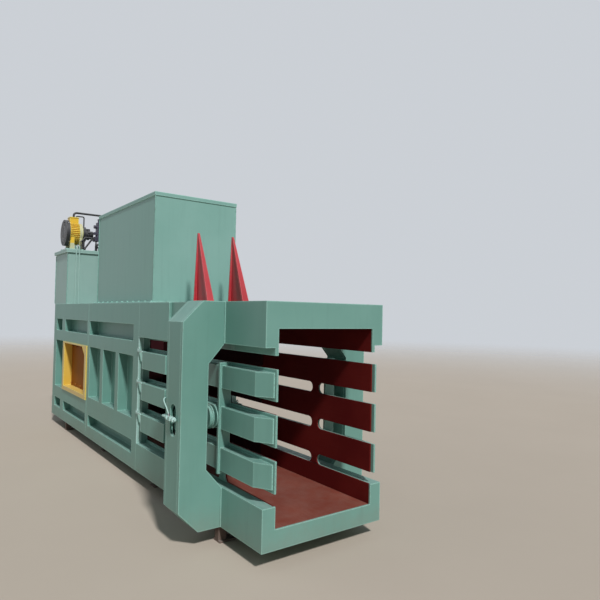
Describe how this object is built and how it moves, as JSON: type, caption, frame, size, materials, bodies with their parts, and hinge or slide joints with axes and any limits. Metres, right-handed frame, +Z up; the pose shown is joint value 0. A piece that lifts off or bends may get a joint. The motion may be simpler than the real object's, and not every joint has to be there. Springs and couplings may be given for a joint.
{
  "type": "horizontal waste baling press",
  "caption": "Horizontal baling press: long ribbed body with hopper, roof power pack, slotted tie section, side squeeze frame and an open fingered outlet.",
  "frame": {"origin": "on the ground, at the middle of the overall length and width", "axes": "+X along the press towards the bale outlet, +Z up, +Y to the left of someone who looks towards +X; the yellow window and the motor's fan are on the -Y side"},
  "size_m": [5.418, 1.572, 2.737],
  "materials": {
    "green_paint": "semi-gloss enamel, sea green",
    "red_liner": "dull maroon paint on wear plates",
    "floor_paint": "red-brown primer, scuffed",
    "ram_paint": "red oxide paint",
    "foot_paint": "red oxide primer",
    "horn_paint": "bright red enamel",
    "yellow_paint": "gloss enamel, signal yellow",
    "cover_paint": "orange-brown enamel",
    "machined_steel": "ground steel",
    "rod_chrome": "hard chrome plated",
    "black_paint": "black enamel",
    "valve_paint": "dark blue-black valve paint",
    "cap_plastic": "moulded black plastic"
  },
  "bodies": {
    "press": {"floor_frame": "green_paint", "feet": "foot_paint", "rear_frame": "green_paint", "rear_wall_left": "green_paint", "rear_wall_right": "green_paint", "press_wall_left": "green_paint", "press_wall_right": "green_paint", "slot_wall_left": "green_paint", "slot_wall_right": "green_paint", "wire_guide_left": "green_paint", "wire_guide_right": "green_paint", "rear_deck": "green_paint", "front_deck": "green_paint", "hopper": "green_paint", "throat_trough": "green_paint", "throat_hood": "green_paint", "portal_front_plate": "green_paint", "portal_rear_plate": "green_paint", "portal_shell": "green_paint", "mouth_trough": "green_paint", "mouth_hood": "green_paint", "floor_liner": "floor_paint", "roof_liner": "red_liner", "trough_liners": "red_liner", "wall_liner_left": "red_liner", "wall_liner_right": "red_liner", "shear_blade": "machined_steel", "hinge_pins_left": "machined_steel", "hinge_pins_right": "machined_steel", "squeeze_cylinder_left": "green_paint", "squeeze_cylinder_right": "green_paint", "main_cylinder": "green_paint", "cylinder_gland": "machined_steel", "window_frame": "yellow_paint", "window_cover": "cover_paint", "horn_brackets": "horn_paint", "oil_tank": "green_paint", "tank_lid": "green_paint", "motor": "yellow_paint", "motor_cowl": "black_paint", "pump": "black_paint", "valve_block": "valve_paint", "tank_pipes": "green_paint", "pressure_lines": "black_paint", "squeeze_lines": "green_paint"},
    "ram": {"ram_body": "ram_paint", "ram_face": "ram_paint", "ram_blade": "machined_steel", "ram_shoes": "machined_steel", "main_rod": "rod_chrome", "rod_pin": "machined_steel"},
    "panel_left": {"squeeze_panel_left": "green_paint", "panel_liner_left": "red_liner"},
    "panel_right": {"squeeze_panel_right": "green_paint", "panel_liner_right": "red_liner"},
    "rod_left": {"squeeze_rod_left": "green_paint"},
    "rod_right": {"squeeze_rod_right": "green_paint"},
    "rotor": {"motor_rotor": "machined_steel"},
    "lever": {"valve_lever": "black_paint"},
    "cap": {"filler_cap": "cap_plastic"}
  },
  "joints": [
    {"name": "ram_slide", "type": "slide", "parent": "press", "child": "ram", "axis": [1, 0, 0], "range_m": [0, 1.56]},
    {"name": "panel_left_hinge", "type": "hinge", "parent": "press", "child": "panel_left", "pos_m": [1.361, -0.441, 0.792], "axis": [0, 0, 1], "range_deg": [0, 2.5]},
    {"name": "panel_right_hinge", "type": "hinge", "parent": "press", "child": "panel_right", "pos_m": [1.361, 0.441, 0.792], "axis": [0, 0, -1], "range_deg": [0, 2.5]},
    {"name": "rod_left_slide", "type": "slide", "parent": "press", "child": "rod_left", "axis": [0, 1, 0], "range_m": [0, 0.034]},
    {"name": "rod_right_slide", "type": "slide", "parent": "press", "child": "rod_right", "axis": [0, -1, 0], "range_m": [0, 0.034]},
    {"name": "rotor_spin", "type": "hinge", "parent": "press", "child": "rotor", "pos_m": [-2.033, -0.34, 2.447], "axis": [0, 1, 0], "continuous": true},
    {"name": "lever_tilt", "type": "hinge", "parent": "press", "child": "lever", "pos_m": [-1.889, -0.15, 2.458], "axis": [1, 0, 0], "range_deg": [-20, 20]},
    {"name": "cap_turn", "type": "hinge", "parent": "press", "child": "cap", "pos_m": [-2.369, 0.35, 2.258], "axis": [0, 0, 1], "range_deg": [0, 90]}
  ],
  "couplings": [
    {"joint": "rod_left_slide", "follows": "panel_left_hinge", "m_per_rad": 0.737},
    {"joint": "rod_right_slide", "follows": "panel_right_hinge", "m_per_rad": 0.737}
  ]
}
